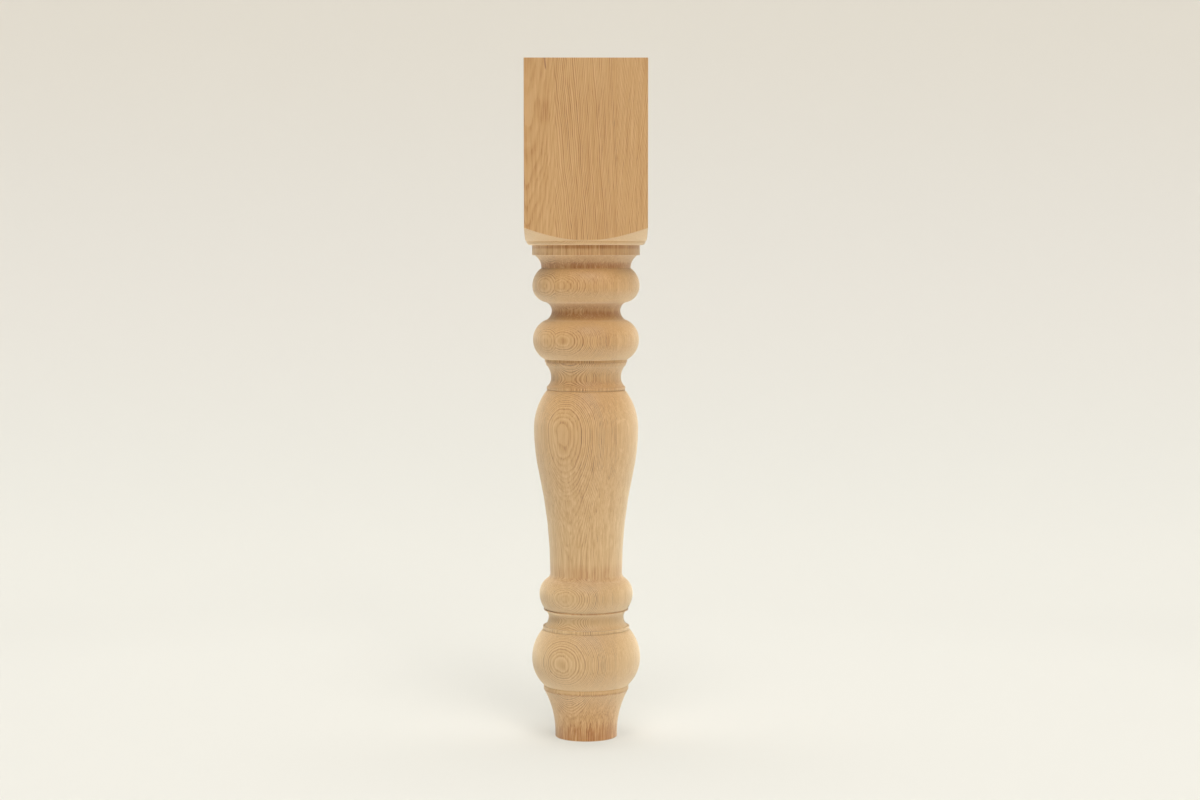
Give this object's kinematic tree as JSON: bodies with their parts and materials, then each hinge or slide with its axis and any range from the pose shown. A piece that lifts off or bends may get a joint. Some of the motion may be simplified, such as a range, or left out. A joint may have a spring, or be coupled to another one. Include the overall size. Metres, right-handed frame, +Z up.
{
  "type": "turned table leg",
  "caption": "Table leg in pale oak: a square block over a turned column of beads, coves, a long vase, a ball and a small flared foot.",
  "frame": {"origin": "centre of the foot's underside, on the floor", "axes": "+Z up along the lathe axis, +X and +Y square to the block's side faces"},
  "size_m": [0.127, 0.127, 0.7112],
  "materials": {
    "oak": "raw sanded oak, matte"
  },
  "bodies": {
    "root": {"turned_leg": "oak"}
  },
  "joints": []
}
